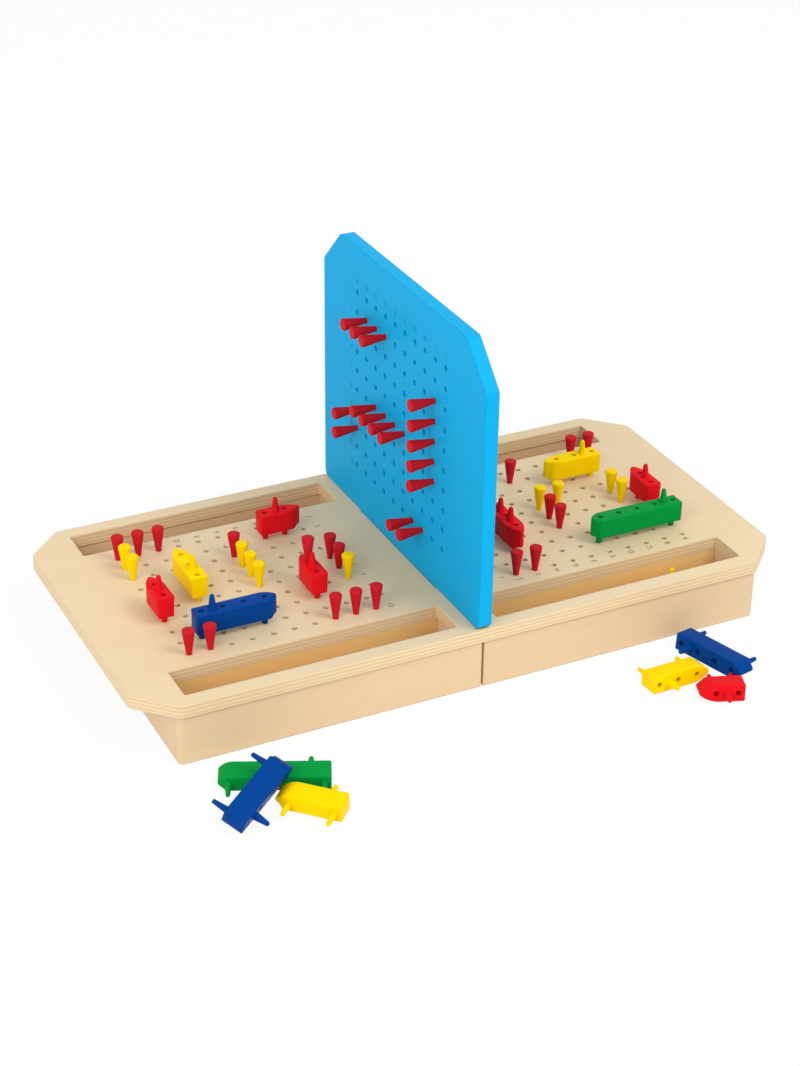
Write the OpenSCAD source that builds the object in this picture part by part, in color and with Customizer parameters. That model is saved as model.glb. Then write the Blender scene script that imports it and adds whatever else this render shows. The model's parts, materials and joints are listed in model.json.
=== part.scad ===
// Two-player fleet guessing case: a plywood playing board on two open trays, an upright divider
// with a scoring grid, plug-in ships and tapered pegs. Each place below is taken from the middle
// of the case; the set is then moved to stand with its own middle at the origin.

/* [Playing field] */
// Distance between neighbouring peg holes
pitch = 15.5; // [15:0.5:18]
// Holes along each side of a field
grid_n = 10; // [10:1:12]
// Diameter of every peg hole
hole_d = 4.5; // [4.2:0.1:5]
// Centre plane to the nearest column of holes
inner_margin = 55.5; // [52:0.5:70]
// Last column of holes to the end of the board
end_margin = 55; // [48:0.5:75]

/* [Board] */
// Thickness of the playing board
board_t = 10; // [9:0.5:14]
// Length of each cut corner along the board's sides
corner_cut = 27; // [20:0.5:30]
// Plan radius where a cut corner meets a side
corner_r = 8; // [3:0.5:12]
// Rim left between a storage slot and the long side
rim_w = 11.5; // [11:0.5:20]

/* [Storage slots] */
// Width of a storage slot
slot_w = 31; // [26:0.5:36]
// Outer row of holes to the storage slot
slot_gap = 14.75; // [14:0.25:20]
// Centre plane to the inner end of a slot
slot_inner = 15; // [14.8:0.1:25]
// End of the board to the outer end of a slot
slot_outer = 34; // [33:0.5:40]
// Plan radius of a slot's corners
slot_r = 1.5; // [1:0.25:4]

/* [Trays] */
// End of the board to the end of a tray
tray_inset = 25; // [20:0.5:25]
// Height of the tray rails
tray_h = 37; // [30:0.5:60]
// Thickness of the rails and the trough walls
rail_t = 9; // [6:0.25:9.25]
// Thickness of a tray's bottom panel
bottom_t = 3; // [2.5:0.25:6]
// Height of the bottom panel above the rail's lower edge
bottom_rise = 0.5; // [0.5:0.25:3]
// Setback of a rail's face from the board's side
tray_setback = 1.5; // [0.5:0.25:2]
// Radius of a tray's outer upright edges
tray_edge_r = 4; // [1:0.25:5]
// Gap between the front rails of the two trays
tray_split = 1.8; // [1:0.1:4]

/* [Divider] */
// Thickness of the divider panel
divider_t = 10; // [8:0.1:10]
// Height of the divider above the board
divider_h = 209; // [205:1:240]
// Length of the divider's cut top corners
divider_cut = 29; // [15:0.5:35]
// Radius of the divider's outline corners
divider_r = 5; // [2:0.5:10]
// Length of the tongue that stands in the board
tongue_l = 125; // [60:1:160]
// Depth of the tongue below the board's top
tongue_h = 34; // [20:1:42]

/* [Pegs] */
// Height of a peg above its surface
peg_h = 19.2; // [15:0.1:24]
// Largest diameter of a peg's head
peg_head_d = 9.3; // [8:0.1:11]
// Length of the peg's tip inside its hole
peg_tip_l = 4.6; // [4:0.1:4.8]
// Diameter of the peg's tip at its end
peg_tip_d = 3.8; // [3:0.1:4]

/* [Ships] */
// Width of a hull
hull_w = 12.4; // [10:0.1:13.5]
// Height of a hull
hull_h = 16; // [13:0.1:20]
// Stern face to the last hole
stern_l = 3.9; // [3.5:0.1:5]
// First hole to the tip of the bow
bow_l = 7.7; // [6.5:0.1:9]
// Width of the blunt bow tip
bow_tip_w = 1.8; // [1:0.1:4]
// Length of the sloped hull ends
rake_l = 5; // [3:0.1:6]
// Height of the sloped hull ends
rake_h = 3.6; // [2:0.1:6]
// Height of a mast
mast_h = 11; // [8:0.1:14]
// Diameter of a mast at the deck
mast_d = 5.4; // [4:0.1:6.5]
// Diameter of a mast's tip
mast_tip_d = 2.8; // [2:0.1:3.5]
// Length of a keel pin
keel_pin_l = 11; // [9:0.1:14]
// Diameter of a keel pin at the hull
keel_pin_d = 5.3; // [5.1:0.1:6]
// Diameter of a keel pin's tip
keel_pin_tip_d = 3.4; // [3:0.1:3.8]
// Depth of the holes in a deck
deck_hole_h = 7; // [5:0.5:9]

/* [Clearances] */
// Radial clearance of a peg or pin where it enters its hole
fit_clear = 0.05; // [0.03:0.01:0.1]
// Gap under a seated shoulder
seat_gap = 0.3; // [0.2:0.05:0.5]
// Gap on each side of the divider's tongue
tongue_clear = 0.4; // [0.3:0.05:0.5]

/* [Hidden] */
round_fn = 48;
hole_fn = 24;
field_l = (grid_n - 1) * pitch;
board_l = 2 * (inner_margin + field_l + end_margin);
board_w = field_l + 2 * (slot_gap + slot_w + rim_w);
board_z = tray_h;
top_z = tray_h + board_t;
slot_l = board_l / 2 - slot_outer - slot_inner;
slot_y = field_l / 2 + slot_gap + slot_w / 2;
tray_l = board_l / 2 - tray_inset;
tray_w = board_w - 2 * tray_setback;
trough_wall_y = slot_y - slot_w / 2 - rail_t;
inner_rail_x = divider_t / 2 + 0.5;
keel_gap = keel_pin_l * (keel_pin_d - hole_d + 2 * fit_clear) / (keel_pin_d - keel_pin_tip_d);
cut = 0.5;
// Middle of the whole set from front to back, loose ships included.
set_middle_y = -53.3;

birch = [0.93, 0.84, 0.68];
rail_wood = [0.92, 0.79, 0.62];
sky_blue = [0.05, 0.62, 0.86];
red = [0.84, 0.06, 0.09];
yellow = [0.98, 0.8, 0.02];
blue = [0.03, 0.28, 0.6];
green = [0.02, 0.58, 0.24];

LEFT = -1;
RIGHT = 1;
BOW_RIGHT = 0;
BOW_BACK = 90;
BOW_LEFT = 180;
BOW_FRONT = 270;

// Ships on the fields: name, side, stern column, stern row, heading, holes, masts, colour.
// Columns count from 0 at the left, rows from 0 at the back.
FLEET = [
    ["left_yellow_cruiser", LEFT, 2, 5, BOW_BACK, 3, 1, yellow],
    ["left_red_boat_outer", LEFT, 0, 6, BOW_BACK, 2, 1, red],
    ["left_red_boat_back", LEFT, 8, 1, BOW_LEFT, 2, 1, red],
    ["left_red_boat_hit", LEFT, 7, 7, BOW_BACK, 2, 1, red],
    ["left_blue_battleship", LEFT, 1, 8, BOW_RIGHT, 4, 1, blue],
    ["right_yellow_cruiser", RIGHT, 8, 2, BOW_LEFT, 3, 1, yellow],
    ["right_green_carrier", RIGHT, 9, 8, BOW_LEFT, 5, 1, green],
    ["right_red_boat_outer", RIGHT, 9, 6, BOW_BACK, 2, 1, red],
    ["right_red_two_master", RIGHT, 1, 5, BOW_FRONT, 3, 2, red]
];

// Pegs in the fields: name, side, colour, then the column and row of each peg.
FIELD_PEGS = [
    ["left_pegs_back_corner", LEFT, red, [[0, 0], [1, 0], [2, 0]]],
    ["left_peg_centre", LEFT, red, [[5, 2]]],
    ["left_pegs_end_yellow", LEFT, yellow, [[0, 1], [0, 2]]],
    ["left_pegs_centre_yellow", LEFT, yellow, [[5, 3], [5, 4], [5, 5]]],
    ["left_pegs_divider_side", LEFT, red, [[9, 4], [9, 5]]],
    ["left_peg_divider_yellow", LEFT, yellow, [[9, 6]]],
    ["left_pegs_front_corner", LEFT, red, [[0, 9], [1, 9]]],
    ["left_pegs_front_row", LEFT, red, [[7, 9], [8, 9], [9, 9]]],
    ["right_peg_back", RIGHT, red, [[4, 1]]],
    ["right_pegs_centre", RIGHT, red, [[4, 5], [4, 6]]],
    ["right_pegs_front_corner", RIGHT, red, [[0, 9], [1, 9]]],
    ["right_pegs_back_row", RIGHT, red, [[8, 0], [9, 0]]],
    ["right_pegs_outer_yellow", RIGHT, yellow, [[8, 4], [8, 5]]],
    ["right_pegs_centre_yellow", RIGHT, yellow, [[4, 4], [5, 4]]]
];

// Pegs in the divider's left face: name, then the column and row of each peg.
// Columns count from 0 at the back, rows from 0 at the top.
DIVIDER_PEGS = [
    ["divider_pegs_top_row", [[1, 1], [2, 1], [3, 1]]],
    ["divider_pegs_back_column", [[0, 6], [0, 7]]],
    ["divider_pegs_middle_row", [[2, 5], [3, 5], [4, 5], [5, 5]]],
    ["divider_pegs_front_column", [[8, 2], [8, 3], [8, 4], [8, 5], [8, 6]]],
    ["divider_pegs_bottom_row", [[6, 9], [7, 9]]]
];

// Ships that lie on their sides on the table: name, place of the stern hole, heading,
// side of the ship that the deck faces (1 = left of its bow), holes, colour.
LOOSE_SHIPS = [
    ["near_green_carrier", [-149.8, -191.9], 157, -1, 5, green],
    ["near_yellow_cruiser", [-159.6, -224.5], 135.5, -1, 3, yellow],
    ["far_blue_battleship", [165.4, -142], 286.4, -1, 4, blue],
    ["far_yellow_cruiser", [106.2, -167.8], 0.6, -1, 3, yellow],
    ["far_red_boat", [158.2, -202], 160.9, 1, 2, red]
];
// The blue ship that leans on the green one: stern hole, heading and the slope of its rest.
LEANING_PLACE = [-222.2, -194.8, 3.6];
LEANING_HEADING = 33.4;
LEANING_SLOPE = 16.8;

// ---- places ----

function column_x(side, column) =
    side * (inner_margin + field_l / 2) - field_l / 2 + column * pitch;
function row_y(row) = field_l / 2 - row * pitch;
function divider_hole_z(row) = top_z + seat_gap + divider_h / 2 + field_l / 2 - row * pitch;

// ---- outlines ----

function unit(v) = v / norm(v);
function corner_angle(a, b, c) = acos(unit(a - b) * unit(c - b));

// Convex outline with every corner rounded to radius r, extruded to height t.
module rounded_plate(points, r, t) {
    n = len(points);
    corners = [for (i = [0 : n - 1]) [points[(i + n - 1) % n], points[i], points[(i + 1) % n]]];
    linear_extrude(t)
        polygon([for (c = corners) for (end = [c[0], c[2]])
            c[1] + unit(end - c[1]) * r / tan(corner_angle(c[0], c[1], c[2]) / 2)]);
    for (c = corners)
        translate(c[1] + unit(unit(c[0] - c[1]) + unit(c[2] - c[1]))
            * r / sin(corner_angle(c[0], c[1], c[2]) / 2))
            cylinder(r = r, h = t, $fn = round_fn);
}

// ---- board and divider ----

function board_outline() = let (x = board_l / 2, y = board_w / 2, c = corner_cut) [
    [x, y - c], [x - c, y], [-x + c, y], [-x, y - c],
    [-x, -y + c], [-x + c, -y], [x - c, -y], [x, -y + c]];

module storage_slot(side, along) {
    x = side > 0 ? slot_inner : -slot_inner - slot_l;
    y = along * slot_y - slot_w / 2;
    translate([x, y, board_z - cut])
        rounded_plate([[0, 0], [slot_l, 0], [slot_l, slot_w], [0, slot_w]], slot_r, board_t + 2 * cut);
}

module top_board() color(birch)
    difference() {
        translate([0, 0, board_z]) rounded_plate(board_outline(), corner_r, board_t);
        for (side = [LEFT, RIGHT]) {
            for (column = [0 : grid_n - 1]) for (row = [0 : grid_n - 1])
                translate([column_x(side, column), row_y(row), board_z - cut])
                    cylinder(d = hole_d, h = board_t + 2 * cut, $fn = hole_fn);
            for (along = [-1, 1]) storage_slot(side, along);
        }
        translate([0, 0, board_z + board_t / 2])
            cube([divider_t + 2 * tongue_clear, tongue_l + 2 * tongue_clear, board_t + 2 * cut],
                center = true);
    }

function divider_outline() = let (y = board_w / 2, h = divider_h, c = divider_cut) [
    [-y, 0], [y, 0], [y, h - c], [y - c, h], [-y + c, h], [-y, h - c]];

module divider_panel() color(sky_blue)
    difference() {
        union() {
            translate([-divider_t / 2, 0, top_z + seat_gap]) rotate([90, 0, 90])
                rounded_plate(divider_outline(), divider_r, divider_t);
            translate([-divider_t / 2, -tongue_l / 2, top_z - tongue_h])
                cube([divider_t, tongue_l, tongue_h + seat_gap + divider_r]);
        }
        for (column = [0 : grid_n - 1]) for (row = [0 : grid_n - 1])
            translate([-divider_t / 2 - cut, row_y(column), divider_hole_z(row)]) rotate([0, 90, 0])
                cylinder(d = hole_d, h = divider_t + 2 * cut, $fn = hole_fn);
    }

// ---- trays ----

// One long rail, full length, with its outer upright edge rounded.
module long_rail(side, along) color(rail_wood)
    translate([side > 0 ? tray_split / 2 : -tray_l, along > 0 ? tray_w / 2 - rail_t : -tray_w / 2, 0])
        intersection() {
            cube([tray_l - tray_split / 2, rail_t, tray_h]);
            union() {
                translate([side > 0 ? -cut : tray_edge_r, -cut, -cut])
                    cube([tray_l - tray_split / 2 - tray_edge_r + cut, rail_t + 2 * cut, tray_h + 2 * cut]);
                translate([side > 0 ? 0 : -cut, along > 0 ? -cut : tray_edge_r, -cut])
                    cube([tray_l + cut, rail_t - tray_edge_r + cut, tray_h + 2 * cut]);
                translate([side > 0 ? tray_l - tray_split / 2 - tray_edge_r : tray_edge_r,
                    along > 0 ? rail_t - tray_edge_r : tray_edge_r, -cut])
                    cylinder(r = tray_edge_r, h = tray_h + 2 * cut, $fn = round_fn);
            }
        }

// A rail across the tray, from one long rail to the other.
module cross_rail(x) color(rail_wood)
    translate([x, -tray_w / 2 + rail_t, 0]) cube([rail_t, tray_w - 2 * rail_t, tray_h]);

module end_rail(side) cross_rail(side > 0 ? tray_l - rail_t : -tray_l);

module inner_rail(side) cross_rail(side > 0 ? inner_rail_x : -inner_rail_x - rail_t);

function tray_inside_l() = tray_l - inner_rail_x - 2 * rail_t;
function tray_inside_x(side) = side > 0 ? inner_rail_x + rail_t : -tray_l + rail_t;

module trough_wall(side, along) color(rail_wood)
    translate([tray_inside_x(side), along > 0 ? trough_wall_y : -trough_wall_y - rail_t,
        bottom_rise + bottom_t])
        cube([tray_inside_l(), rail_t, tray_h - bottom_rise - bottom_t]);

module bottom_panel(side) color(birch)
    translate([tray_inside_x(side), -tray_w / 2 + rail_t, bottom_rise])
        cube([tray_inside_l(), tray_w - 2 * rail_t, bottom_t]);

// ---- pegs ----

// A domed peg on its own axis; z = 0 is the surface that it stands on.
module peg() {
    shoulder_z = peg_h - peg_head_d * 0.42;
    head_r = peg_head_d / 2;
    mouth_r = hole_d / 2 - fit_clear;
    dome = [for (a = [0 : 15 : 75]) [head_r * cos(a), shoulder_z + (peg_h - shoulder_z) * sin(a)]];
    rotate_extrude($fn = round_fn)
        polygon(concat([[0, -peg_tip_l], [peg_tip_d / 2, -peg_tip_l], [mouth_r, 0]],
            dome, [[0, peg_h]]));
}

module field_pegs(group) color(group[2])
    for (place = group[3])
        translate([column_x(group[1], place[0]), row_y(place[1]), top_z]) peg();

module divider_pegs(group) color(red)
    for (place = group[1])
        translate([-divider_t / 2, row_y(place[0]), divider_hole_z(place[1])])
            rotate([0, -90, 0]) peg();

// ---- ships ----

// Side view of a hull: flat deck and bottom, both lower ends sloped.
function hull_side(l) = [
    [-stern_l + rake_l, 0], [l + bow_l - rake_l, 0], [l + bow_l, rake_h],
    [l + bow_l, hull_h], [-stern_l, hull_h], [-stern_l, rake_h]];

// A ship whose stern hole is at x = 0, bow along +X, keel at z = 0.
module ship(holes, masts) {
    l = (holes - 1) * pitch;
    bow_start = l - 0.2 * pitch;
    reach = l + bow_l - bow_start;
    taper = (hull_w - bow_tip_w) / 2;
    side_r = (reach * reach + taper * taper) / (2 * taper);
    difference() {
        intersection() {
            translate([0, hull_w / 2, 0]) rotate([90, 0, 0]) linear_extrude(hull_w) polygon(hull_side(l));
            union() {
                translate([-stern_l - cut, -hull_w / 2, -cut])
                    cube([bow_start + stern_l + cut, hull_w, hull_h + 2 * cut]);
                intersection_for (along = [-1, 1])
                    translate([bow_start, along * (side_r - hull_w / 2), -cut])
                        cylinder(r = side_r, h = hull_h + 2 * cut, $fn = 4 * round_fn);
            }
        }
        for (i = [0 : holes - 1])
            translate([i * pitch, 0, hull_h - deck_hole_h])
                cylinder(d = hole_d, h = deck_hole_h + cut, $fn = hole_fn);
    }
    for (i = [0 : masts - 1]) translate([(i + 0.5) * pitch, 0, hull_h - cut]) {
        cylinder(d1 = mast_d, d2 = mast_tip_d, h = mast_h - mast_tip_d / 2 + cut, $fn = round_fn);
        translate([0, 0, mast_h - mast_tip_d / 2 + cut]) sphere(d = mast_tip_d, $fn = round_fn);
    }
    for (x = [0, l]) translate([x, 0, -keel_pin_l])
        cylinder(d1 = keel_pin_tip_d, d2 = keel_pin_d, h = keel_pin_l + cut, $fn = round_fn);
}

module field_ship(entry) color(entry[7])
    translate([column_x(entry[1], entry[2]), row_y(entry[3]), top_z + keel_gap])
        rotate([0, 0, entry[4]]) ship(entry[5], entry[6]);

// A ship on its side at the origin, with its deck to the left (1) or right (-1) of the bow.
module lying_ship(heading, deck_side, holes)
    translate([0, 0, hull_w / 2]) rotate([0, 0, heading]) rotate([-90 * deck_side, 0, 0])
        ship(holes, 1);

// The leaning ship rests on the edge of the green one, so its slope runs across that edge.
module near_blue_battleship() color(blue) {
    edge = LOOSE_SHIPS[0][2] - 180;
    translate(LEANING_PLACE) rotate([0, 0, edge]) rotate([LEANING_SLOPE, 0, 0])
        lying_ship(LEANING_HEADING - edge, -1, 4);
}

// Put away, standing askew on its pins in the front trough.
module stored_yellow_cruiser() color(yellow)
    translate([173, -95.5, bottom_rise + bottom_t + seat_gap + keel_pin_l])
        rotate([0, 0, 205]) ship(3, 1);

module left_peg_in_ship() color(red)
    translate([column_x(LEFT, 7), row_y(6), top_z + keel_gap + hull_h]) peg();

// ---- assembly ----

module in_set() translate([0, -set_middle_y, 0]) children();

in_set() top_board();
in_set() divider_panel();
for (half = [["left_", LEFT], ["right_", RIGHT]]) {
    in_set() long_rail(half[1], -1);
    in_set() long_rail(half[1], 1);
    in_set() end_rail(half[1]);
    in_set() inner_rail(half[1]);
    in_set() trough_wall(half[1], -1);
    in_set() trough_wall(half[1], 1);
    in_set() bottom_panel(half[1]);
}
for (entry = FLEET) in_set() field_ship(entry);
in_set() left_peg_in_ship();
in_set() stored_yellow_cruiser();
in_set() near_blue_battleship();
for (entry = LOOSE_SHIPS) in_set() color(entry[5]) translate(entry[1]) lying_ship(entry[2], entry[3], entry[4]);
for (group = FIELD_PEGS) in_set() field_pegs(group);
for (group = DIVIDER_PEGS) in_set() divider_pegs(group);
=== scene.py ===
"""Forms, finishes, grid labels and studio for the fleet guessing case."""

import json
import math

import bmesh
import bpy
from mathutils import Matrix, Vector


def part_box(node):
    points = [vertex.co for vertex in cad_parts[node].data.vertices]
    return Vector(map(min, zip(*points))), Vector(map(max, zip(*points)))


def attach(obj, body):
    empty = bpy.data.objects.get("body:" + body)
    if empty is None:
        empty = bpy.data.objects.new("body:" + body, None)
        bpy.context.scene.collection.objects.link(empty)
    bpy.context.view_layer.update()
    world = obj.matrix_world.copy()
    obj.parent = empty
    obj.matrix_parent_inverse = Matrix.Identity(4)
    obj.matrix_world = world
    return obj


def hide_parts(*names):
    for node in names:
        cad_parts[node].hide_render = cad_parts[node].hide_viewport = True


bl_info = {
    "name": "Fleet Guessing Case",
    "version": (1, 0, 0),
    "blender": (4, 5, 0),
    "location": "View3D > Sidebar > Fleet Case",
    "description": "Plywood, paint, moulded plastic and grid labels for a two-player fleet guessing case",
    "category": "Object",
}

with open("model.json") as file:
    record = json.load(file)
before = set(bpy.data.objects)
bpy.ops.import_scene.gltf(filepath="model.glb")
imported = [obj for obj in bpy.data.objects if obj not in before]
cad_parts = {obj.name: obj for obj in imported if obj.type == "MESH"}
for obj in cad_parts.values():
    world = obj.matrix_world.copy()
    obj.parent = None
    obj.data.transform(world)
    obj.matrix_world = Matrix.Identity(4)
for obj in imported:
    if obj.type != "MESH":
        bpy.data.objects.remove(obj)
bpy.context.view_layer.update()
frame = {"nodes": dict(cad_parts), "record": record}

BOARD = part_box("top_board")
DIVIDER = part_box("divider_panel")
LEFT, RIGHT = -1, 1

# Grids: hole spacing, holes along a side, and the case's middle to its nearest column.
PITCH = 0.0155
GRID_HOLES = 10
FIELD = (GRID_HOLES - 1) * PITCH
INNER_MARGIN = 0.0555
SEAT_GAP = 0.0003
MIDDLE_Y = (BOARD[0].y + BOARD[1].y) / 2
BOARD_TOP = BOARD[1].z
DIVIDER_MIDDLE_Z = (BOARD_TOP + SEAT_GAP + DIVIDER[1].z) / 2
DIVIDER_FACE = DIVIDER[1].x
# A sheet's own holes end within this distance of their centres.
HOLE_REACH = PITCH / 5

# Pegs and pins: width at the mouth of a hole, and the broken edge of a tip.
MOUTH_W = 0.0039
TIP_EDGE = 0.0004

# Pegs: height above the surface, radius of the head's rim, length and width of the tip.
PEG_H = 0.0192
PEG_RIM = 0.001
PEG_TIP_L = 0.0046
PEG_TIP_W = 0.0036

# Pins below a keel.
PIN_ROOT_W = 0.0047
PIN_TIP_W = 0.003

# Hulls: stern hole to stern, narrowing of a side from deck to keel, the slope under the bow,
# the radii of the edges and of the stern's corners, and the depth of the deck holes.
STERN_L = 0.005
DRAFT = 0.0012
RAKE_L = 0.006
RAKE_H = 0.0022
DECK_EDGE = 0.0009
KEEL_EDGE = 0.0005
STERN_CORNER = 0.0012
DECK_HOLE_H = 0.007

# Bows: start of the curve before the last hole, width of the tip, and the tip's distance
# past the last hole by the number of holes.
BOW_START = 0.2 * PITCH
BOW_TIP_W = 0.0018
BOW_L = {2: 0.0115, 3: 0.010, 4: 0.0085, 5: 0.007}

# Masts: widths, place in pitches after a hole, and how far masts and pins reach into a hull.
MAST_FOOT_W = 0.006
MAST_TIP_W = 0.0034
MAST_PLACE = 0.53
SUNK = 0.0005

# Fineness of the rounded forms.
PEG_SIDES = 48
PIN_SIDES = 40
HOLE_SIDES = 28
RIM_STEPS = 5
CORNER_STEPS = 4
KEEL_STEPS = 3
BOW_STEPS = 12
LEAST_HALF = 0.0002
CREASE = math.radians(32)

# Ships on the fields: side, stern column, stern row, heading in degrees, holes, masts.
FLEET = {
    "left_yellow_cruiser": (LEFT, 2, 5, 90, 3, 1),
    "left_red_boat_outer": (LEFT, 0, 6, 90, 2, 1),
    "left_red_boat_back": (LEFT, 7, 1, 0, 2, 1),
    "left_red_boat_hit": (LEFT, 7, 7, 90, 2, 1),
    "left_blue_battleship": (LEFT, 1, 8, 0, 4, 1),
    "right_yellow_cruiser": (RIGHT, 8, 2, 180, 3, 1),
    "right_green_carrier": (RIGHT, 9, 8, 180, 5, 1),
    "right_red_boat_outer": (RIGHT, 9, 6, 90, 2, 1),
    "right_red_two_master": (RIGHT, 1, 5, 270, 3, 2),
}
# Ships lying on one side: stern hole from the middle of the case, heading, side of the deck, holes.
LYING = {
    "near_green_carrier": ((-0.1504, -0.1910), 156, -1, 5),
    "near_yellow_cruiser": ((-0.1585, -0.2240), 134.5, -1, 3),
    "far_blue_battleship": ((0.1654, -0.1410), 286.4, -1, 4),
    "far_yellow_cruiser": ((0.1074, -0.1698), 1.5, -1, 3),
    "far_red_boat": ((0.1574, -0.2026), 158.9, 1, 2),
}
# The ship that leans on the near pile: stern hole from the middle of the case, its heading,
# pitch and roll, holes.
LEANING = ("near_blue_battleship", (-0.2218, -0.2002, 0.01285), (34.4, -10.1, 112), 4)
# The ship stored in a trough: stern hole from the middle of the case, heading, holes.
STORED = ("stored_yellow_cruiser", (0.175, -0.0995), 197, 3)

RAILS = ("front_rail", "back_rail", "end_rail", "inner_rail")
INSIDE = ("front_trough_wall", "back_trough_wall", "bottom_panel")
# The grain runs along the axis whose share is small.
ALONG_X = (0.09, 1.0, 1.0)
ALONG_Y = (1.0, 0.09, 1.0)
ALONG_PANEL = (1.0, 0.06, 1.0)
# Radii of the edges that no setting gives.
INSIDE_EDGE = 0.0006
PEG_EDGE = 0.0003
SHIP_ROUGHNESS = 0.32
PEG_ROUGHNESS = 0.38
# The pegs' red is deeper than the ships'.
PEG_RED_SHARE = (0.76, 1.6, 1.5)

# Printed labels: lift off the surface, and distances from the holes that they name.
LETTERS = "ABCDEFGHIJ"
CAPITAL_SHARE = 0.7
PRINT_LIFT = 0.00003
LETTER_OUT = 0.007
LETTER_SHIFT = 0.001
NUMBER_OUT = 0.011
DIVIDER_LETTER_UP = 0.0087
DIVIDER_NUMBER_OUT = 0.0095
BROWN_PRINT = ((0.13, 0.10, 0.07, 1), (0.05, 0.04, 0.028, 1))
NAVY_PRINT = ((0.004, 0.17, 0.38, 1), (0.003, 0.09, 0.22, 1))

# Studio: the floor, how far the camera sees it as plain white, the point that the lamps face,
# each lamp's place and width, and the camera, placed from the middle of the case.
FLOOR_HALF = 6.0
FLOOR_Z = -0.0004
FLOOR_GLOW = 0.9
TARGET_Z = 0.05
KEY = ((0.9, -1.3, 1.9), 1.3)
FILL = ((-1.7, -1.0, 1.2), 1.6)
CAMERA_PLACE = (-0.6423, -1.2886, 0.8729)
CAMERA_RIGHT = (0.89858, -0.43867, 0.01126)
CAMERA_FORWARD = (0.38679, 0.77966, -0.49246)
CAMERA_LENS = 102.23
SENSOR_W = 36.0
CAMERA_REACH = 20.0

WHITE = (1, 1, 1, 1)
PAPER = (0.86, 0.86, 0.86, 1)


# ---- settings ----

def colour_setting(name, description, default):
    return bpy.props.FloatVectorProperty(
        name=name, description=description, default=default, subtype="COLOR", size=3, min=0, max=1)


def length_setting(name, description, default, low, high):
    return bpy.props.FloatProperty(
        name=name, description=description, default=default, min=low, max=high,
        subtype="DISTANCE", unit="LENGTH", precision=4)


def power_setting(name, description, default):
    return bpy.props.FloatProperty(
        name=name, description=description, default=default, min=0, max=200, unit="POWER")


class FleetFinishes(bpy.types.PropertyGroup):
    """Colours, edges and light."""

    birch: colour_setting("Birch face", "Colour of the lacquered birch face", (0.765, 0.61, 0.39))
    rail_wood: colour_setting("Rail wood", "Colour of the tray rails", (0.735, 0.555, 0.35))
    # Partly the wood's own tone and partly painted light: the trough wood is brighter and warmer than the
    # rails, standing in for light inside the shaded trays.
    trough_wood_and_painted_light: colour_setting("Trough wood", "Colour of the wood inside the trays", (0.85, 0.565, 0.23))
    sky_blue: colour_setting("Sky blue", "Colour of the divider's paint", (0.002, 0.385, 0.735))
    red: colour_setting("Red", "Colour of the red plastic", (0.74, 0.008, 0.014))
    yellow: colour_setting("Yellow", "Colour of the yellow plastic", (0.95, 0.64, 0.0))
    blue: colour_setting("Blue", "Colour of the blue plastic", (0.001, 0.05, 0.255))
    green: colour_setting("Green", "Colour of the green plastic", (0.001, 0.283, 0.045))
    plies: bpy.props.IntProperty(
        name="Plies", description="Layers of the plywood board", default=7, min=3, max=15)
    wood_edge: length_setting("Wood edge", "Radius of the sanded wooden edges", 0.0012, 0.0, 0.003)
    plastic_edge: length_setting("Plastic edge", "Radius of the small edges of the ships", 0.0004, 0.0, 0.002)
    key_light: power_setting("Key light", "Power of the large lamp at the front right", 22.5)
    fill_light: power_setting("Fill light", "Power of the lamp at the left", 19.0)
    room_light: bpy.props.FloatProperty(
        name="Room light", description="Strength of the light from all around", default=0.76,
        min=0, max=1, subtype="FACTOR")


class FleetSizes(bpy.types.PropertyGroup):
    """Sizes of the holes, the ships, the pegs and the labels."""

    hole_width: length_setting("Hole width", "Width of the holes for pegs and pins", 0.004, 0.0039, 0.0045)
    peg_head: length_setting("Peg head", "Width of a peg's head", 0.0092, 0.006, 0.012)
    hull_width: length_setting("Hull width", "Width of a ship's deck", 0.0133, 0.009, 0.015)
    hull_height: length_setting("Hull height", "Height of a ship from keel to deck", 0.016, 0.010, 0.024)
    mast_height: length_setting("Mast height", "Height of a mast above the deck", 0.0112, 0.004, 0.016)
    pin_length: length_setting("Pin length", "Length of the pins below a keel", 0.011, 0.008, 0.014)
    letter_height: length_setting("Letter height", "Height of the grid labels", 0.0042, 0.002, 0.008)


def finishes():
    return bpy.context.scene.fleet_finishes


def sizes():
    return bpy.context.scene.fleet_sizes


# ---- shader building ----

def new_group(name, inputs, outputs):
    """An empty node group with float, colour or vector sockets."""
    kinds = {"FLOAT": "NodeSocketFloat", "COLOR": "NodeSocketColor", "VECTOR": "NodeSocketVector"}
    group = bpy.data.node_groups.new(name, "ShaderNodeTree")
    for label, kind, default in inputs:
        socket = group.interface.new_socket(name=label, in_out="INPUT", socket_type=kinds[kind])
        socket.default_value = default
    for label, kind in outputs:
        group.interface.new_socket(name=label, in_out="OUTPUT", socket_type=kinds[kind])
    return group, group.nodes.new("NodeGroupInput"), group.nodes.new("NodeGroupOutput")


def feed(tree, value, socket):
    """Links a socket to an output, or sets it to a plain value."""
    if isinstance(value, bpy.types.NodeSocket):
        tree.links.new(value, socket)
    else:
        socket.default_value = value


def add(tree, kind, inputs=None, **props):
    """A node with its properties set and its inputs set or linked."""
    node = tree.nodes.new(kind)
    for key, value in props.items():
        setattr(node, key, value)
    for key, value in (inputs or {}).items():
        feed(tree, value, node.inputs[key])
    return node


def maths(tree, operation, a, b=0.0, clamp=False):
    return add(tree, "ShaderNodeMath", {0: a, 1: b}, operation=operation, use_clamp=clamp).outputs[0]


def vector_maths(tree, operation, a, b=(0.0, 0.0, 0.0)):
    return add(tree, "ShaderNodeVectorMath", {0: a, 1: b}, operation=operation).outputs[0]


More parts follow.
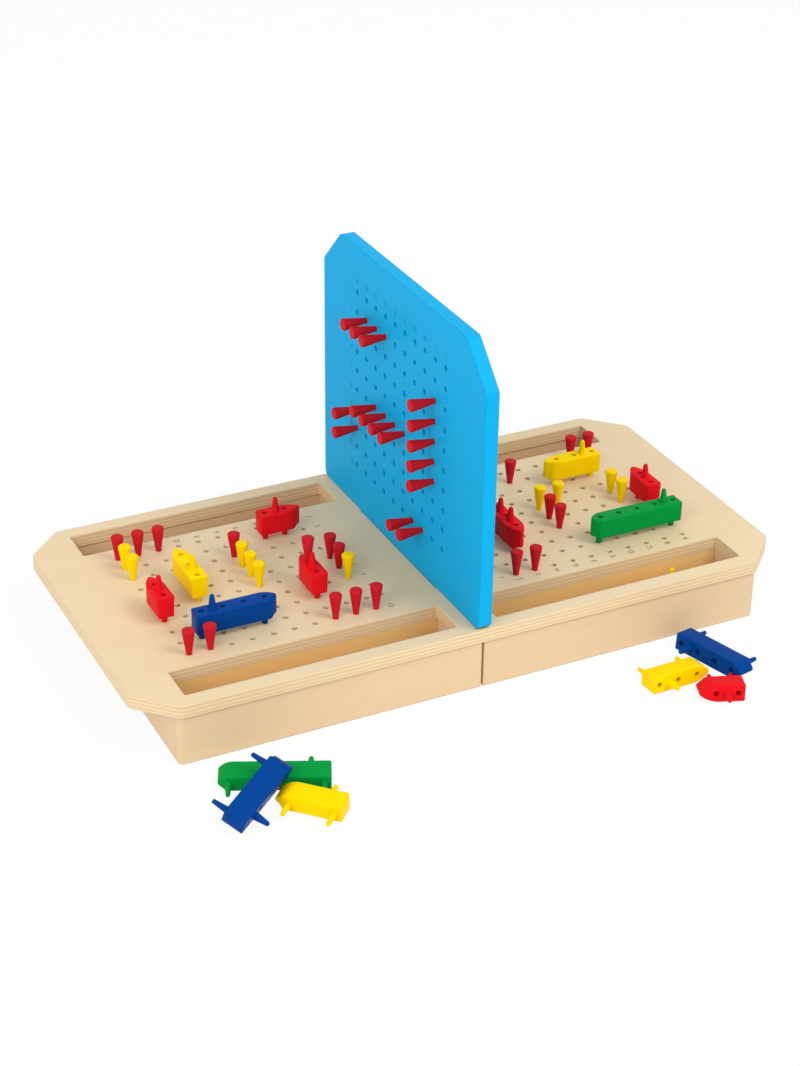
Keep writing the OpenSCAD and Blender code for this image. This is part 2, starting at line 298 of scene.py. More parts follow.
def mix_colour(tree, factor, a, b):
    """Two colours mixed by a factor, through the colour sockets of the mix node."""
    factor_socket, a_socket, b_socket, colour_output = 0, 6, 7, 2
    node = add(tree, "ShaderNodeMix", data_type="RGBA")
    for socket, value in ((factor_socket, factor), (a_socket, a), (b_socket, b)):
        feed(tree, value, node.inputs[socket])
    return node.outputs[colour_output]


def object_place(tree):
    return add(tree, "ShaderNodeTexCoord").outputs["Object"]


def around_zero(tree, value):
    """A noise that runs from 0 to 1, moved to run about 0."""
    return maths(tree, "SUBTRACT", value, 0.5)


def wood_grain_group():
    """Long fibres, broad growth bands and fine pores along one axis of the object."""
    group, source, sink = new_group(
        "Wood grain",
        [("Along", "VECTOR", (1, 1, 1)), ("Offset", "VECTOR", (0, 0, 0)), ("Contrast", "FLOAT", 1.0)],
        [("Tone", "FLOAT"), ("Fibre", "FLOAT")])
    moved = vector_maths(group, "ADD", object_place(group), source.outputs["Offset"])
    drawn = vector_maths(group, "MULTIPLY", moved, source.outputs["Along"])
    broad = add(group, "ShaderNodeTexNoise",
                {"Vector": drawn, "Scale": 28.0, "Detail": 3.0, "Roughness": 0.55, "Distortion": 0.6})
    fine = add(group, "ShaderNodeTexNoise",
               {"Vector": drawn, "Scale": 420.0, "Detail": 4.0, "Roughness": 0.6})
    band_share = 0.9
    fibre_share = 0.5
    bands = maths(group, "MULTIPLY", around_zero(group, broad.outputs[0]), band_share)
    fibres = maths(group, "MULTIPLY", around_zero(group, fine.outputs[0]), fibre_share)
    tone = maths(group, "MULTIPLY", maths(group, "ADD", bands, fibres), source.outputs["Contrast"])
    group.links.new(maths(group, "ADD", tone, 0.5, True), sink.inputs["Tone"])
    group.links.new(fine.outputs[0], sink.inputs["Fibre"])
    return group


def outside_fields(group, place, middle, half):
    """1 outside both drilled fields, which mirror each other about x = 0."""
    folded = vector_maths(group, "ABSOLUTE", place)
    here = add(group, "ShaderNodeSeparateXYZ", {0: place})
    mirrored = add(group, "ShaderNodeSeparateXYZ", {0: folded})
    centre = add(group, "ShaderNodeSeparateXYZ", {0: middle})
    away_x = maths(group, "ABSOLUTE", maths(group, "SUBTRACT", mirrored.outputs[0], centre.outputs[0]))
    away_y = maths(group, "ABSOLUTE", maths(group, "SUBTRACT", here.outputs[1], centre.outputs[1]))
    return maths(group, "GREATER_THAN", maths(group, "MAXIMUM", away_x, away_y), half)


def ply_edge_group():
    """Glue lines and alternating plies on the cut edges of a sheet, but not in its drilled holes."""
    group, source, sink = new_group(
        "Ply edge",
        [("Lower face", "FLOAT", 0.0), ("Thickness", "FLOAT", 0.01), ("Plies", "FLOAT", 7.0),
         ("Field middle", "VECTOR", (0, 0, 0)), ("Field half", "FLOAT", 0.1)],
        [("Edge", "FLOAT"), ("Glue", "FLOAT"), ("End grain", "FLOAT")])
    place = object_place(group)
    wander_height = 0.0004
    glue_sharpness = 16.0
    steepest_face = 0.6
    noise = add(group, "ShaderNodeTexNoise", {"Vector": place, "Scale": 45.0, "Detail": 1.0}).outputs[0]
    wander = maths(group, "MULTIPLY", around_zero(group, noise), wander_height)
    height = add(group, "ShaderNodeSeparateXYZ", {0: place}).outputs[2]
    height = maths(group, "ADD", height, wander)
    share = maths(group, "DIVIDE", maths(group, "SUBTRACT", height, source.outputs["Lower face"]),
                  source.outputs["Thickness"])
    layer = maths(group, "MULTIPLY", share, source.outputs["Plies"])
    within = maths(group, "FRACT", layer)
    near = maths(group, "MINIMUM", within, maths(group, "SUBTRACT", 1.0, within))
    glue = maths(group, "SUBTRACT", 1.0, maths(group, "MULTIPLY", near, glue_sharpness), True)
    odd = maths(group, "GREATER_THAN", maths(group, "MODULO", layer, 2.0), 1.0)
    normal = add(group, "ShaderNodeNewGeometry").outputs["Normal"]
    level = maths(group, "ABSOLUTE", add(group, "ShaderNodeSeparateXYZ", {0: normal}).outputs[2])
    upright = maths(group, "LESS_THAN", level, steepest_face)
    outside = outside_fields(group, place, source.outputs["Field middle"], source.outputs["Field half"])
    group.links.new(maths(group, "MULTIPLY", upright, outside), sink.inputs["Edge"])
    group.links.new(glue, sink.inputs["Glue"])
    group.links.new(odd, sink.inputs["End grain"])
    return group


def mould_skin_group():
    """The slight unevenness and handling marks of a moulded surface."""
    group, source, sink = new_group(
        "Mould skin", [("Roughness", "FLOAT", 0.3), ("Scale", "FLOAT", 90.0)],
        [("Roughness", "FLOAT"), ("Swell", "FLOAT"), ("Shade", "FLOAT")])
    place = object_place(group)
    soft = add(group, "ShaderNodeTexNoise",
               {"Vector": place, "Scale": source.outputs["Scale"], "Detail": 2.0}).outputs[0]
    fine = add(group, "ShaderNodeTexNoise", {"Vector": place, "Scale": 900.0, "Detail": 3.0}).outputs[0]
    mark_depth = 0.18
    fine_share = 0.12
    marks = maths(group, "MULTIPLY", around_zero(group, fine), mark_depth)
    group.links.new(maths(group, "ADD", source.outputs["Roughness"], marks), sink.inputs["Roughness"])
    swell = maths(group, "ADD", soft, maths(group, "MULTIPLY", fine, fine_share))
    group.links.new(swell, sink.inputs["Swell"])
    group.links.new(soft, sink.inputs["Shade"])
    return group


def placed(tree, name, maker, inputs):
    """A shared group, built once, placed in a material with its own values."""
    group = bpy.data.node_groups.get(name) or maker()
    return add(tree, "ShaderNodeGroup", inputs, node_tree=group)


# ---- materials ----

def new_material(name, specular):
    material = bpy.data.materials.new(name)
    material.use_nodes = True
    shader = material.node_tree.nodes["Principled BSDF"]
    shader.inputs["Specular IOR Level"].default_value = specular
    return material, material.node_tree, shader


def tinted(colour, factor):
    """A colour with each channel times its factor, as an opaque shader colour."""
    return tuple(c * f for c, f in zip(colour, factor)) + (1.0,)


def relief(tree, shader, height, strength, depth, edge):
    """Bumps a surface by a height, over edges that look rounded to a radius."""
    rounded = add(tree, "ShaderNodeBevel", {"Radius": edge}, samples=6).outputs[0]
    bump = add(tree, "ShaderNodeBump",
               {"Height": height, "Strength": strength, "Distance": depth, "Normal": rounded})
    tree.links.new(bump.outputs[0], shader.inputs["Normal"])


def fibre_surface(tree, shader, fibre, roughness, strength, edge):
    """Roughness and relief that follow the fibres of the wood."""
    fibre_roughness = 0.2
    fibre_depth = 0.0002
    rough = maths(tree, "ADD", maths(tree, "MULTIPLY", fibre, fibre_roughness), roughness)
    tree.links.new(rough, shader.inputs["Roughness"])
    relief(tree, shader, fibre, strength, fibre_depth, edge)


def ply_layers(tree, face, colour, ply):
    """The layered edges of a sheet over its face colour; ply = (lower face, thickness, plies)."""
    lower, thickness, plies = ply
    layers = placed(tree, "Ply edge", ply_edge_group, {
        "Lower face": lower, "Thickness": thickness, "Plies": plies,
        "Field middle": (INNER_MARGIN + FIELD / 2, MIDDLE_Y, 0.0), "Field half": FIELD / 2 + PITCH / 3})
    cross = mix_colour(tree, layers.outputs["End grain"], tinted(colour, (1.06, 1.04, 1.02)),
                       tinted(colour, (0.95, 0.87, 0.76)))
    glued = mix_colour(tree, layers.outputs["Glue"], cross, tinted(colour, (0.52, 0.42, 0.31)))
    return mix_colour(tree, layers.outputs["Edge"], face, glued)


def wood_material(name, colour, along, edge, offset=(0, 0, 0), contrast=1.0, ply=None):
    """Clear-lacquered wood, with layered edges where a ply is given."""
    material, tree, shader = new_material(name, specular=0.35)
    grain = placed(tree, "Wood grain", wood_grain_group,
                   {"Along": along, "Offset": offset, "Contrast": contrast})
    face = mix_colour(tree, grain.outputs["Tone"], tinted(colour, (0.93, 0.88, 0.80)),
                      tinted(colour, (1.04, 1.04, 1.05)))
    if ply:
        face = ply_layers(tree, face, colour, ply)
    tree.links.new(face, shader.inputs["Base Color"])
    fibre_surface(tree, shader, grain.outputs["Fibre"], roughness=0.42, strength=0.10, edge=edge)
    return material


def paint_material(name, colour, edge):
    """Satin paint over plywood, with the fibres just showing through."""
    material, tree, shader = new_material(name, specular=0.06)
    grain = placed(tree, "Wood grain", wood_grain_group, {"Along": ALONG_PANEL, "Contrast": 0.8})
    coat = mix_colour(tree, grain.outputs["Tone"], tinted(colour, (0.8, 0.93, 0.95)),
                      tinted(colour, (1.3, 1.05, 1.03)))
    tree.links.new(coat, shader.inputs["Base Color"])
    fibre_surface(tree, shader, grain.outputs["Fibre"], roughness=0.36, strength=0.12, edge=edge)
    return material


def plastic_material(name, colour, edge, roughness):
    """Moulded plastic with a soft shine."""
    material, tree, shader = new_material(name, specular=0.03)
    skin = placed(tree, "Mould skin", mould_skin_group, {"Roughness": roughness})
    body = mix_colour(tree, skin.outputs["Shade"], tinted(colour, (0.93, 0.93, 0.93)),
                      tinted(colour, (1.05, 1.05, 1.05)))
    tree.links.new(body, shader.inputs["Base Color"])
    tree.links.new(skin.outputs["Roughness"], shader.inputs["Roughness"])
    relief(tree, shader, skin.outputs["Swell"], strength=0.12, depth=0.0004, edge=edge)
    return material


def ink_material(name, light, dark):
    """Thin, slightly worn printing ink."""
    material, tree, shader = new_material(name, specular=0.2)
    worn = add(tree, "ShaderNodeTexNoise", {"Vector": object_place(tree), "Scale": 900.0}).outputs[0]
    tree.links.new(mix_colour(tree, worn, dark, light), shader.inputs["Base Color"])
    shader.inputs["Roughness"].default_value = 0.6
    return material


def dress(piece, material):
    """Puts one material on every slot of a piece."""
    if not piece.material_slots:
        piece.data.materials.append(material)
    for place in piece.material_slots:
        place.link = "OBJECT"
        place.material = material


# ---- forms ----

def slot_of(node):
    return next(part["material_slot"] for part in frame["record"]["subparts"] if part["node"] == node)


def colour_of(node):
    return slot_of(node).removesuffix("_plastic")


def stand_for(node, mesh):
    """An object for the mesh, riding where the node rides and shown in its place."""
    piece = bpy.data.objects.new(f"{node}_form", mesh)
    bpy.context.scene.collection.objects.link(piece)
    bodies = frame["record"]["behaviour"]["bodies"]
    body = next(name for name, nodes in bodies.items() if node in nodes)
    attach(piece, body)
    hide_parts(node)
    return piece


def finished(name, form):
    """A mesh from a bmesh of closed shells, with creases kept sharp."""
    bmesh.ops.recalc_face_normals(form, faces=form.faces)
    for face in form.faces:
        face.smooth = True
    mesh = bpy.data.meshes.new(name)
    form.to_mesh(mesh)
    form.free()
    mesh.set_sharp_from_angle(angle=CREASE)
    return mesh


def arc(steps):
    """The angles of a quarter turn, from 0 up."""
    return [math.radians(90 * k / steps) for k in range(steps + 1)]


def spin(degrees, axis):
    return Matrix.Rotation(math.radians(degrees), 4, axis)


def circle(form, place, radius, height, sides):
    """A ring of vertices about the Z axis of a place; a radius of 0 gives one vertex."""
    angles = [2 * math.pi * k / sides for k in range(sides)] if radius else [0.0]
    return [form.verts.new(place @ Vector((radius * math.cos(a), radius * math.sin(a), height)))
            for a in angles]


def ring_faces(form, low, high):
    """Faces between two closed rings; a ring of one vertex is a pole."""
    count = max(len(low), len(high))
    for i in range(count):
        j = (i + 1) % count
        corners = [low[0]] if len(low) == 1 else [low[i], low[j]]
        corners += [high[0]] if len(high) == 1 else [high[j], high[i]]
        form.faces.new(corners)


def ring_edges(form, ring):
    return [form.edges.get(ends) for ends in zip(ring, ring[1:] + ring[:1])]


def turned(form, profile, place, sides):
    """Turns a profile of (radius, height) about the Z axis of a place."""
    rings = [circle(form, place, radius, height, sides) for radius, height in profile]
    for low, high in zip(rings, rings[1:]):
        ring_faces(form, low, high)


def blunt_tip(length, width):
    """The profile of a downward tip with a broken edge, from its middle outwards."""
    return [(0, -length), (width / 2 - TIP_EDGE, -length), (width / 2, TIP_EDGE - length)]


def add_peg(form, place):
    """A flat-headed tapered peg; z = 0 is the surface that it stands on."""
    head = sizes().peg_head / 2
    rim = [(head - PEG_RIM * (1 - math.cos(a)), PEG_H - PEG_RIM * (1 - math.sin(a))) for a in arc(RIM_STEPS)]
    profile = blunt_tip(PEG_TIP_L, PEG_TIP_W) + [(MOUTH_W / 2, 0)] + rim + [(0, PEG_H)]
    turned(form, profile, place, PEG_SIDES)


def bow_curve(holes):
    """Where the curve of the bow starts and ends, from the stern hole."""
    last_hole = (holes - 1) * PITCH
    return last_hole - BOW_START, last_hole + BOW_L[holes]


def half_width(x, holes):
    """Half of the deck's width at a distance from the stern hole."""
    half = sizes().hull_width / 2
    start, tip = bow_curve(holes)
    to_corner = STERN_CORNER - STERN_L - x
    if to_corner > 0:
        return half - STERN_CORNER + math.sqrt(max(0.0, STERN_CORNER ** 2 - to_corner ** 2))
    if x <= start:
        return half
    taper = half - BOW_TIP_W / 2
    side_r = ((tip - start) ** 2 + taper ** 2) / (2 * taper)
    return half - side_r + math.sqrt(side_r ** 2 - (x - start) ** 2)


def hull_ring(form, place, holes, height, inset):
    """The hull's outline at one height, drawn in by an inset."""
    start, tip = bow_curve(holes)
    stations = [STERN_CORNER * (1 - math.cos(a)) - STERN_L for a in arc(CORNER_STEPS)]
    stations += [start + (tip - start) * k / BOW_STEPS for k in range(BOW_STEPS + 1)]
    beam = sizes().hull_width / 2 - DRAFT * (1 - height / sizes().hull_height)
    front = tip - RAKE_L * max(0.0, 1 - height / RAKE_H)
    side = [(min(max(x, inset - STERN_L), front - inset),
             max(min(half_width(x, holes), beam) - inset, LEAST_HALF)) for x in stations]
    outline = [(x, -y) for x, y in side] + [(x, y) for x, y in reversed(side)]
    return [form.verts.new(place @ Vector((x, y, height))) for x, y in outline]


def add_deck_hole(form, place):
    """A blind hole below the deck; gives the edges of its mouth."""
    radius = sizes().hole_width / 2
    deck = sizes().hull_height
    mouth = circle(form, place, radius, deck, HOLE_SIDES)
    bottom = circle(form, place, radius, deck - DECK_HOLE_H, HOLE_SIDES)
    ring_faces(form, bottom, mouth)
    form.faces.new(bottom)
    return ring_edges(form, mouth)


def add_hull(form, holes, place):
    """A drafted hull with a curved bow, rounded edges and blind holes in its deck."""
    deck = sizes().hull_height
    levels = [(KEEL_EDGE * (1 - math.cos(a)), KEEL_EDGE * (1 - math.sin(a))) for a in arc(KEEL_STEPS)]
    levels += [(RAKE_H, 0.0)]
    levels += [(deck - DECK_EDGE * (1 - math.sin(a)), DECK_EDGE * (1 - math.cos(a)))
               for a in arc(CORNER_STEPS)]
    rings = [hull_ring(form, place, holes, height, inset) for height, inset in levels]
    for low, high in zip(rings, rings[1:]):
        ring_faces(form, low, high)
    form.faces.new(list(reversed(rings[0])))
    rim = ring_edges(form, rings[-1])
    for k in range(holes):
        rim += add_deck_hole(form, place @ Matrix.Translation((k * PITCH, 0, 0)))
    bmesh.ops.triangle_fill(form, use_beauty=True, use_dissolve=False, edges=rim)


def add_mast(form, foot):
    """A tapered mast with a round top, standing on the deck."""
    height = sizes().mast_height
    radius = MAST_TIP_W / 2
    top = [(radius * math.cos(a), height - radius * (1 - math.sin(a))) for a in arc(RIM_STEPS)[:-1]]
    turned(form, [(0, -SUNK), (MAST_FOOT_W / 2, -SUNK)] + top + [(0, height)], foot, PIN_SIDES)


def add_pin(form, root):
    """A tapered pin below the keel."""
    profile = blunt_tip(sizes().pin_length, PIN_TIP_W) + [(PIN_ROOT_W / 2, SUNK), (0, SUNK)]
    turned(form, profile, root, PIN_SIDES)


def ship_mesh(name, holes, masts, place):
    """A whole ship: stern hole at x = 0, bow along +X, keel at z = 0."""
    form = bmesh.new()
    add_hull(form, holes, place)
    for k in range(masts):
        add_mast(form, place @ Matrix.Translation(((k + MAST_PLACE) * PITCH, 0, sizes().hull_height)))
    for x in (0, (holes - 1) * PITCH):
        add_pin(form, place @ Matrix.Translation((x, 0, 0)))
    return finished(name, form)


def ship_places():
    """Every ship: name, place, holes, masts."""
    pin = sizes().pin_length
    keel_z = BOARD_TOP + pin * (PIN_ROOT_W - MOUTH_W) / (PIN_ROOT_W - PIN_TIP_W)
    for name, (side, column, row, heading, holes, masts) in FLEET.items():
        x = side * (INNER_MARGIN + FIELD / 2) - FIELD / 2 + column * PITCH
        y = MIDDLE_Y + FIELD / 2 - row * PITCH
        yield name, Matrix.Translation((x, y, keel_z)) @ spin(heading, "Z"), holes, masts
    slope = math.degrees(math.atan(DRAFT / sizes().hull_height))
    side_z = (sizes().hull_width / 2 - DRAFT) * math.cos(math.radians(slope))
    for name, ((x, y), heading, deck, holes) in LYING.items():
        turn = spin(heading, "Z") @ spin(-(90 - slope) * deck, "X")
        yield name, Matrix.Translation((x, MIDDLE_Y + y, side_z)) @ turn, holes, 1
    name, (x, y, z), (heading, pitch, roll), holes = LEANING
    turn = spin(heading, "Z") @ spin(pitch, "Y") @ spin(roll, "X")
    yield name, Matrix.Translation((x, MIDDLE_Y + y, z)) @ turn, holes, 1
    name, (x, y), heading, holes = STORED
    trough_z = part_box(name)[0].z
    yield name, Matrix.Translation((x, MIDDLE_Y + y, trough_z + pin)) @ spin(heading, "Z"), holes, 1


def row_of(low, high, width):
    """Centres of the pieces that stand a pitch apart between two bounds."""
    count = round((high - low - width) / PITCH) + 1
    middle = (low + high) / 2
    return [middle + (k - (count - 1) / 2) * PITCH for k in range(count)]


def peg_mesh(node):
    """The pegs of one node, standing on the board or on a deck, or in the divider's left face."""
    low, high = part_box(node)
    head = sizes().peg_head
    form = bmesh.new()
    if node.startswith("divider"):
        for y in row_of(low.y, high.y, head):
            for z in row_of(low.z, high.z, head):
                add_peg(form, Matrix.Translation((-DIVIDER_FACE, y, z)) @ spin(-90, "Y"))
    else:
        for x in row_of(low.x, high.x, head):
            for y in row_of(low.y, high.y, head):
                add_peg(form, Matrix.Translation((x, y, high.z - PEG_H)))
    return finished(f"{node}_form", form)


def drilled_mesh(node, centres, across):
    """The node's own sheet with each hole drawn in to the wanted width."""
    mesh = frame["nodes"][node].data.copy()
    mesh.name = f"{node}_form"
    radius = sizes().hole_width / 2
    u, v = across
    for vertex in mesh.vertices:
        at = vertex.co
        near = min(centres, key=lambda c: (at[u] - c[0]) ** 2 + (at[v] - c[1]) ** 2)
        away = Vector((at[u] - near[0], at[v] - near[1]))
        if radius < away.length < HOLE_REACH:
            away *= radius / away.length
            at[u], at[v] = near[0] + away.x, near[1] + away.y
    return mesh


def grid_steps():
    return [-FIELD / 2 + k * PITCH for k in range(GRID_HOLES)]


# ---- labels ----

def word_mesh(name, word, height):
    """A flat mesh of one short word, in the font that comes with the program."""
    curve = bpy.data.curves.new(name, "FONT")
    curve.body = word
    curve.size = height / CAPITAL_SHARE
    curve.align_x = "CENTER"
    curve.align_y = "CENTER"
    curve.fill_mode = "BOTH"
    maker = bpy.data.objects.new(name, curve)
    bpy.context.scene.collection.objects.link(maker)
    flat = bpy.data.meshes.new_from_object(maker.evaluated_get(bpy.context.evaluated_depsgraph_get()))
    bpy.data.objects.remove(maker)
    bpy.data.curves.remove(curve)
    return flat


def lettering(name, marks, height, material, body):
    """One flat mesh of short words: marks = (word, centre, right, up)."""
    whole = bmesh.new()
    for word, centre, right, up in marks:
        flat = word_mesh(name, word, height)
        right, up = Vector(right), Vector(up)
        turn = Matrix((right, up, right.cross(up))).transposed().to_4x4()
        flat.transform(Matrix.Translation(centre) @ turn)
        whole.from_mesh(flat)
        bpy.data.meshes.remove(flat)
    mesh = bpy.data.meshes.new(name)
    whole.to_mesh(mesh)
    whole.free()
    mesh.materials.append(material)
    piece = bpy.data.objects.new(name, mesh)
    bpy.context.scene.collection.objects.link(piece)
    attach(piece, body)


def field_marks(side):
    """Letters along a field's outer side and numbers along its inner one, for the player there."""
    right, up = (0, side, 0), (-side, 0, 0)
    print_z = BOARD_TOP + PRINT_LIFT
    letter_y = MIDDLE_Y - side * (FIELD / 2 + LETTER_OUT)
    number_x = side * (INNER_MARGIN - NUMBER_OUT)
    for i, letter in enumerate(LETTERS):
        letter_x = side * (INNER_MARGIN + FIELD - i * PITCH - LETTER_SHIFT)
        number_y = MIDDLE_Y - side * (FIELD / 2 - i * PITCH)
        yield letter, Vector((letter_x, letter_y, print_z)), right, up
        yield str(i + 1), Vector((number_x, number_y, print_z)), right, up


def divider_marks(side):
    """Letters above the divider's grid and numbers beside it, on one face."""
    right, up = (0, side, 0), (0, 0, 1)
    face_x = side * (DIVIDER_FACE + PRINT_LIFT)
    top = DIVIDER_MIDDLE_Z + FIELD / 2
    number_y = MIDDLE_Y - side * (FIELD / 2 + DIVIDER_NUMBER_OUT)
    for i, letter in enumerate(LETTERS):
        letter_y = MIDDLE_Y - side * (FIELD / 2 - i * PITCH)
        yield letter, Vector((face_x, letter_y, top + DIVIDER_LETTER_UP)), right, up
        yield str(i + 1), Vector((face_x, number_y, top - i * PITCH)), right, up


# ---- studio ----

def seen_as_white(tree, path):
    """1 for the rays that meet the studio in a shine or through clear pieces."""
    return maths(tree, "MAXIMUM", path.outputs["Is Glossy Ray"], path.outputs["Is Transmission Ray"])


def floor_material():
    """Pale paper that takes shadows and looks nearly white."""
    material = bpy.data.materials.new("Studio floor")
    material.use_nodes = True
    tree = material.node_tree
    tree.nodes.clear()
    path = add(tree, "ShaderNodeLightPath")
    paper = add(tree, "ShaderNodeBsdfDiffuse", {"Color": PAPER})
    glow = add(tree, "ShaderNodeEmission", {"Color": WHITE, "Strength": 1.0})
    camera_share = maths(tree, "MULTIPLY", path.outputs["Is Camera Ray"], FLOOR_GLOW)
    share = maths(tree, "MAXIMUM", camera_share, seen_as_white(tree, path))
    both = add(tree, "ShaderNodeMixShader", {0: share, 1: paper.outputs[0], 2: glow.outputs[0]})
    add(tree, "ShaderNodeOutputMaterial", {0: both.outputs[0]})
    return material


def studio_floor(scene):
    """One wide flat sheet just below the case, outside the part."""
    mesh = bpy.data.meshes.new("studio_floor")
    form = bmesh.new()
    bmesh.ops.create_grid(form, x_segments=1, y_segments=1, size=FLOOR_HALF)
    form.to_mesh(mesh)
    form.free()
    floor = bpy.data.objects.new("studio_floor", mesh)
    floor.location.z = FLOOR_Z
    scene.collection.objects.link(floor)
    mesh.materials.append(floor_material())


def studio_world(scene):
    """Even light from all around, plain white where it is seen."""
    world = bpy.data.worlds.new("Studio")
    scene.world = world
    world.use_nodes = True
    tree = world.node_tree
    tree.nodes.clear()
    path = add(tree, "ShaderNodeLightPath")
    seen = maths(tree, "MAXIMUM", path.outputs["Is Camera Ray"], seen_as_white(tree, path))
    room = finishes().room_light
    strength = maths(tree, "ADD", maths(tree, "MULTIPLY", seen, 1.0 - room), room)
    sky = add(tree, "ShaderNodeBackground", {"Color": WHITE, "Strength": strength})
    add(tree, "ShaderNodeOutputWorld", {0: sky.outputs[0]})


def studio_lamp(scene, name, place, size, power):
    """A round soft lamp that points at the case."""
    data = bpy.data.lights.new(name, "AREA")
    data.shape = "DISK"
    data.size = size
    data.energy = power
    lamp = bpy.data.objects.new(name, data)
    lamp.location = place
    target = Vector((0, MIDDLE_Y, TARGET_Z))
    lamp.rotation_euler = (target - lamp.location).to_track_quat("-Z", "Y").to_euler()
    scene.collection.objects.link(lamp)


def studio_camera(scene):
    """The main view, from its place, its two directions and its lens."""
    right = Vector(CAMERA_RIGHT).normalized()
    forward = Vector(CAMERA_FORWARD)
    forward = (forward - right * forward.dot(right)).normalized()
    up = right.cross(forward)
    data = bpy.data.cameras.new("Camera")
    data.sensor_fit = "HORIZONTAL"
    data.sensor_width = SENSOR_W
    data.lens = CAMERA_LENS
    data.clip_end = CAMERA_REACH
    camera = bpy.data.objects.new("Camera", data)
    turn = Matrix((right, up, -forward)).transposed().to_4x4()
    x, y, z = CAMERA_PLACE
    camera.matrix_world = Matrix.Translation((x, MIDDLE_Y + y, z)) @ turn
    scene.collection.objects.link(camera)
    scene.camera = camera


# ---- operators ----

class FLEET_OT_wooden_case(bpy.types.Operator):
    """Drill the board, and finish it, the tray rails and the troughs in lacquered wood"""
    bl_idname = "fleet.wooden_case"
    bl_label = "Wooden Case"

    def execute(self, context):
        s = finishes()
        middles = [side * (INNER_MARGIN + FIELD / 2) for side in (LEFT, RIGHT)]
        holes = [(m + x, MIDDLE_Y + y) for m in middles for x in grid_steps() for y in grid_steps()]
        board = stand_for("top_board", drilled_mesh("top_board", holes, (0, 1)))
        ply = (BOARD[0].z, BOARD_TOP - BOARD[0].z, s.plies)
        dress(board, wood_material("Birch board", s.birch, ALONG_X, s.wood_edge, contrast=0.75, ply=ply))
        # The offsets give each piece its own stretch of grain.
        for index, side in enumerate(("left", "right")):
            for turn, rail in enumerate(RAILS):
                along = ALONG_X if rail in RAILS[:2] else ALONG_Y
                offset = (0.3 * index, 0.2 * turn, 0.1)
                dress(frame["nodes"][f"{side}_{rail}"], wood_material(
                    f"Rail {side} {rail}", s.rail_wood, along, s.wood_edge, offset, 0.9))
            for turn, part in enumerate(INSIDE):
                offset = (0.5 * index, 0.3, 0.2 * turn)
                # The trough colour carries painted light: brighter and warmer than the rail wood, in place of
                # the light that reaches the shaded trays.
                dress(frame["nodes"][f"{side}_{part}"], wood_material(
                    f"Trough {side} {part}", s.trough_wood_and_painted_light, ALONG_X, INSIDE_EDGE, offset))
        return {"FINISHED"}


class FLEET_OT_divider(bpy.types.Operator):
    """Drill and paint the divider"""
    bl_idname = "fleet.divider"
    bl_label = "Divider"

    def execute(self, context):
        s = finishes()
        holes = [(MIDDLE_Y + y, DIVIDER_MIDDLE_Z + z) for y in grid_steps() for z in grid_steps()]
        panel = stand_for("divider_panel", drilled_mesh("divider_panel", holes, (1, 2)))
        dress(panel, paint_material("Sky blue paint", s.sky_blue, s.wood_edge))
        return {"FINISHED"}


class FLEET_OT_ships(bpy.types.Operator):
    """Mould the ships in plastic of four colours"""
    bl_idname = "fleet.ships"
    bl_label = "Ships"

    def execute(self, context):
        s = finishes()
        colours = {"red": s.red, "yellow": s.yellow, "blue": s.blue, "green": s.green}
        plastics = {c: plastic_material(f"Ship {c}", v, s.plastic_edge, SHIP_ROUGHNESS)
                    for c, v in colours.items()}
        for name, place, holes, masts in ship_places():
            ship = stand_for(name, ship_mesh(f"{name}_form", holes, masts, place))
            dress(ship, plastics[colour_of(name)])
        return {"FINISHED"}


class FLEET_OT_pegs(bpy.types.Operator):
    """Mould the pegs in red and yellow plastic"""
    bl_idname = "fleet.pegs"
    bl_label = "Pegs"

    def execute(self, context):
        s = finishes()
        colours = {"red": tinted(s.red, PEG_RED_SHARE), "yellow": s.yellow}
        plastics = {c: plastic_material(f"Peg {c}", v, PEG_EDGE, PEG_ROUGHNESS)
                    for c, v in colours.items()}
        for part in frame["record"]["subparts"]:
            node = part["node"]
            if "peg" in node:
                dress(stand_for(node, peg_mesh(node)), plastics[colour_of(node)])
        return {"FINISHED"}


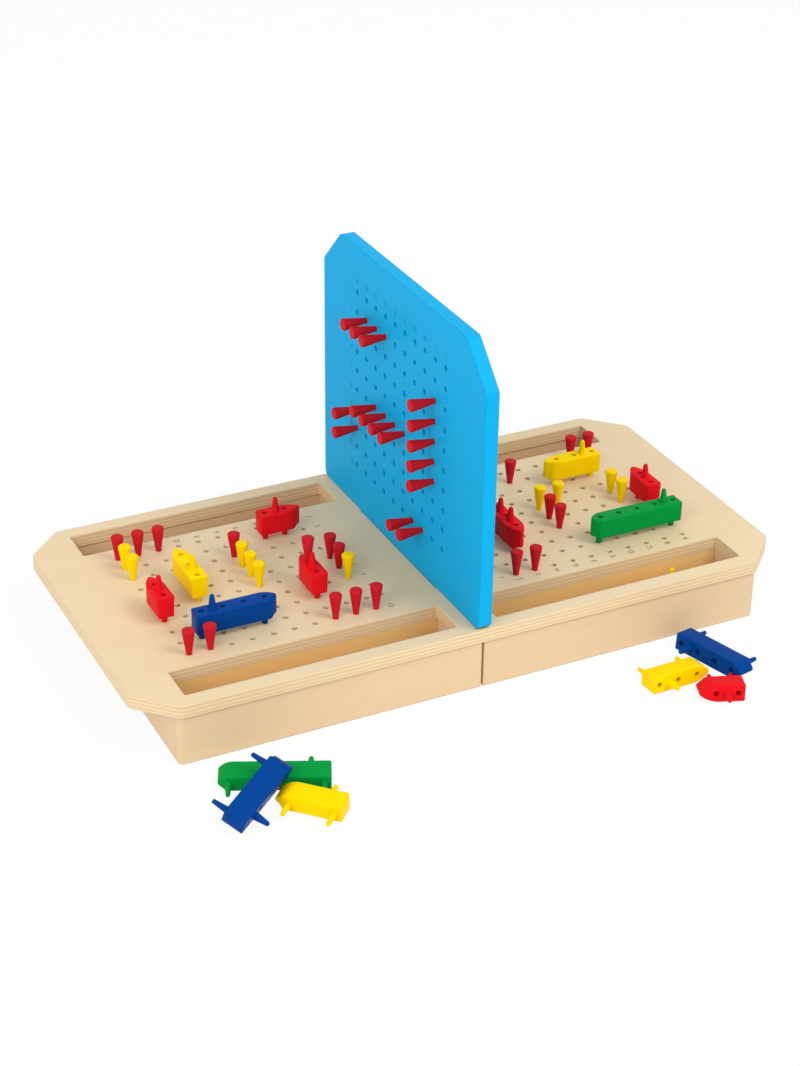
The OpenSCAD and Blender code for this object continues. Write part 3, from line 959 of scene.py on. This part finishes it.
class FLEET_OT_grid_labels(bpy.types.Operator):
    """Print the letters and numbers beside the grids"""
    bl_idname = "fleet.grid_labels"
    bl_label = "Grid Labels"

    def execute(self, context):
        height = sizes().letter_height
        brown = ink_material("Brown print", *BROWN_PRINT)
        navy = ink_material("Navy print", *NAVY_PRINT)
        for side, name in ((LEFT, "left"), (RIGHT, "right")):
            lettering(f"field_labels_{name}", field_marks(side), height, brown, "case")
            lettering(f"divider_labels_{name}", divider_marks(side), height, navy, "divider")
        return {"FINISHED"}


class FLEET_OT_studio(bpy.types.Operator):
    """Set up the pale floor, the soft light and the camera"""
    bl_idname = "fleet.studio"
    bl_label = "Studio"

    def execute(self, context):
        scene = context.scene
        studio_floor(scene)
        studio_world(scene)
        studio_lamp(scene, "Key", *KEY, finishes().key_light)
        studio_lamp(scene, "Fill", *FILL, finishes().fill_light)
        studio_camera(scene)
        scene.view_settings.view_transform = "Standard"
        return {"FINISHED"}


class FLEET_PT_panel(bpy.types.Panel):
    """Fleet case tools"""
    bl_idname = "FLEET_PT_panel"
    bl_label = "Fleet Case"
    bl_space_type = "VIEW_3D"
    bl_region_type = "UI"
    bl_category = "Fleet Case"

    def draw(self, context):
        for group in (context.scene.fleet_finishes, context.scene.fleet_sizes):
            for name in type(group).__annotations__:
                self.layout.prop(group, name)
        for operator in OPERATORS:
            self.layout.operator(operator.bl_idname)


GROUPS = (FleetFinishes, FleetSizes)
OPERATORS = (FLEET_OT_wooden_case, FLEET_OT_divider, FLEET_OT_ships, FLEET_OT_pegs,
             FLEET_OT_grid_labels, FLEET_OT_studio)
CLASSES = (*GROUPS, *OPERATORS, FLEET_PT_panel)


def register():
    for part in CLASSES:
        bpy.utils.register_class(part)
    bpy.types.Scene.fleet_finishes = bpy.props.PointerProperty(type=FleetFinishes)
    bpy.types.Scene.fleet_sizes = bpy.props.PointerProperty(type=FleetSizes)


def unregister():
    del bpy.types.Scene.fleet_sizes
    del bpy.types.Scene.fleet_finishes
    for part in reversed(CLASSES):
        bpy.utils.unregister_class(part)


def main():
    register()
    bpy.ops.fleet.wooden_case()
    bpy.ops.fleet.divider()
    bpy.ops.fleet.ships()
    bpy.ops.fleet.pegs()
    bpy.ops.fleet.grid_labels()
    bpy.ops.fleet.studio()


if __name__ == "__main__":
    main()
